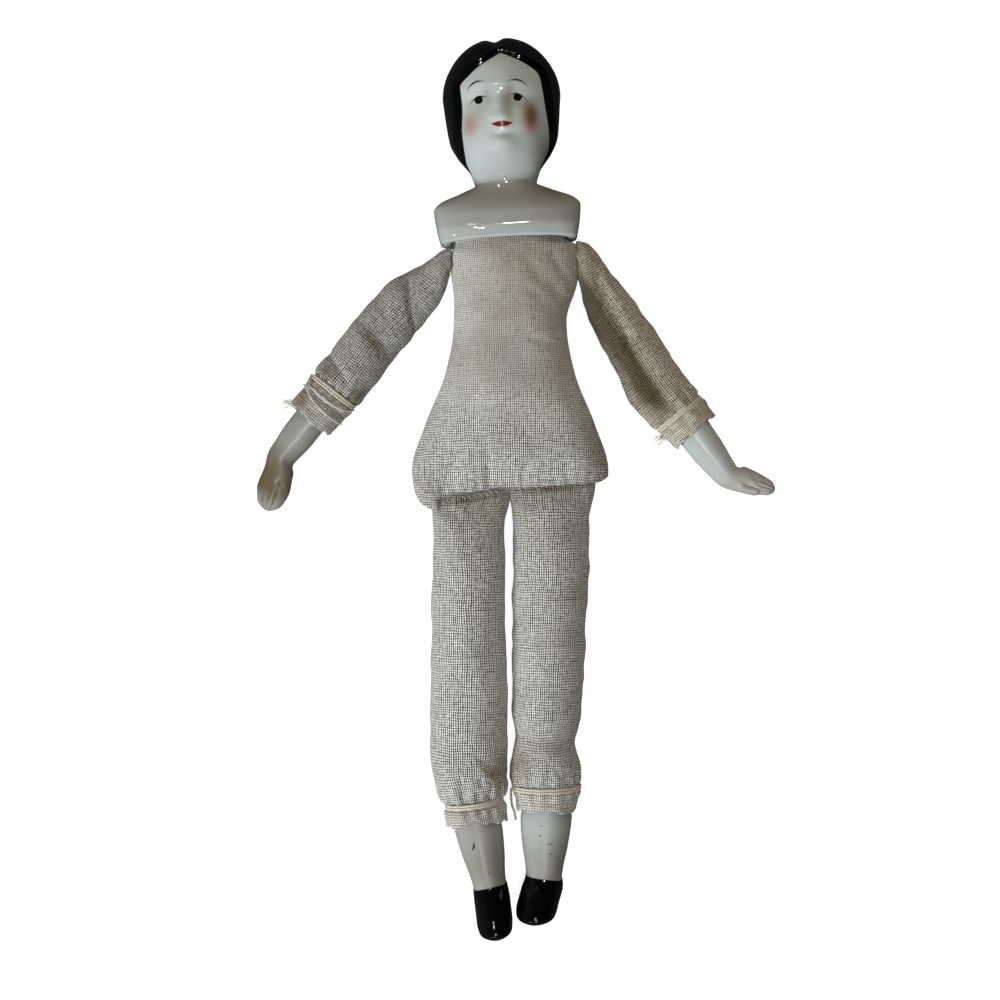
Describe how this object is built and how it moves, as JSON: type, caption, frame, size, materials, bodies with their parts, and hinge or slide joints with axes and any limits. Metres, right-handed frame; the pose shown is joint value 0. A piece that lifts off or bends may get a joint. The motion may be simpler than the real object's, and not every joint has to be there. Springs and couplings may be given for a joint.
{
  "type": "china head doll",
  "caption": "Small antique doll lying on its back: glazed china shoulder head, stuffed muslin body, loosely sewn cloth limbs with bound china forearms and lower legs.",
  "frame": {"origin": "middle of the doll's outline, on the surface that the doll lies on", "axes": "+X towards the doll's left hand, +Y from the feet to the crown, +Z from the back to the face"},
  "size_m": [0.1184, 0.2008, 0.027],
  "materials": {
    "glazed_china": "clear glaze over white china, hair and shoes painted black",
    "muslin": "plain open weave, unbleached",
    "cotton_stuffing": "loose cotton",
    "linen_thread": "two-ply thread"
  },
  "bodies": {
    "trunk": {"shoulder_head": "glazed_china", "torso_front_cloth": "muslin", "torso_back_cloth": "muslin", "torso_stuffing": "cotton_stuffing", "right_hip_stitches": "linen_thread", "left_hip_stitches": "linen_thread"},
    "right_shoulder": {"right_shoulder_stitches": "linen_thread"},
    "right_arm": {"right_sleeve": "muslin", "right_arm_stuffing": "cotton_stuffing"},
    "right_hand": {"right_arm_cuff": "muslin", "right_arm_binding": "linen_thread", "right_forearm": "glazed_china"},
    "right_leg": {"right_leg_cloth": "muslin", "right_leg_stuffing": "cotton_stuffing"},
    "right_foot": {"right_leg_cuff": "muslin", "right_leg_binding": "linen_thread", "right_lower_leg": "glazed_china"},
    "left_shoulder": {"left_shoulder_stitches": "linen_thread"},
    "left_arm": {"left_sleeve": "muslin", "left_arm_stuffing": "cotton_stuffing"},
    "left_hand": {"left_arm_cuff": "muslin", "left_arm_binding": "linen_thread", "left_forearm": "glazed_china"},
    "left_leg": {"left_leg_cloth": "muslin", "left_leg_stuffing": "cotton_stuffing"},
    "left_foot": {"left_leg_cuff": "muslin", "left_leg_binding": "linen_thread", "left_lower_leg": "glazed_china"}
  },
  "joints": [
    {"name": "right_shoulder_swing", "type": "hinge", "parent": "trunk", "child": "right_shoulder", "pos_m": [-0.01524, 0.0519, 0.0098], "axis": [-1, 0, 0], "range_deg": [-60, 105]},
    {"name": "right_shoulder_spread", "type": "hinge", "parent": "right_shoulder", "child": "right_arm", "pos_m": [-0.01524, 0.0549, 0.0098], "axis": [0, 0, -1], "range_deg": [0, 30]},
    {"name": "right_forearm_bend", "type": "hinge", "parent": "right_arm", "child": "right_hand", "pos_m": [-0.03833, 0.02739, 0.00535], "axis": [-0.7716, 0.6361, 0], "range_deg": [-14, 14]},
    {"name": "right_hip_swing", "type": "hinge", "parent": "trunk", "child": "right_leg", "pos_m": [-0.01093, -0.0011, 0.0069], "axis": [-0.9803, -0.1977, 0], "range_deg": [-60, 95]},
    {"name": "right_shin_bend", "type": "hinge", "parent": "right_leg", "child": "right_foot", "pos_m": [-0.01082, -0.06159, 0.00685], "axis": [-0.9914, -0.1305, 0], "range_deg": [-14, 14]},
    {"name": "left_shoulder_swing", "type": "hinge", "parent": "trunk", "child": "left_shoulder", "pos_m": [0.01218, 0.0519, 0.0098], "axis": [-1, 0, 0], "range_deg": [-60, 105]},
    {"name": "left_shoulder_spread", "type": "hinge", "parent": "left_shoulder", "child": "left_arm", "pos_m": [0.01218, 0.0549, 0.0098], "axis": [0, 0, 1], "range_deg": [0, 40]},
    {"name": "left_forearm_bend", "type": "hinge", "parent": "left_arm", "child": "left_hand", "pos_m": [0.03155, 0.0245, 0.00535], "axis": [-0.7547, -0.6561, 0], "range_deg": [-14, 14]},
    {"name": "left_hip_swing", "type": "hinge", "parent": "trunk", "child": "left_leg", "pos_m": [0.00788, 0.00126, 0.0069], "axis": [-0.9988, -0.0488, 0], "range_deg": [-60, 95]},
    {"name": "left_shin_bend", "type": "hinge", "parent": "left_leg", "child": "left_foot", "pos_m": [0.00637, -0.05924, 0.00685], "axis": [-1, 0, 0], "range_deg": [-14, 14]}
  ]
}
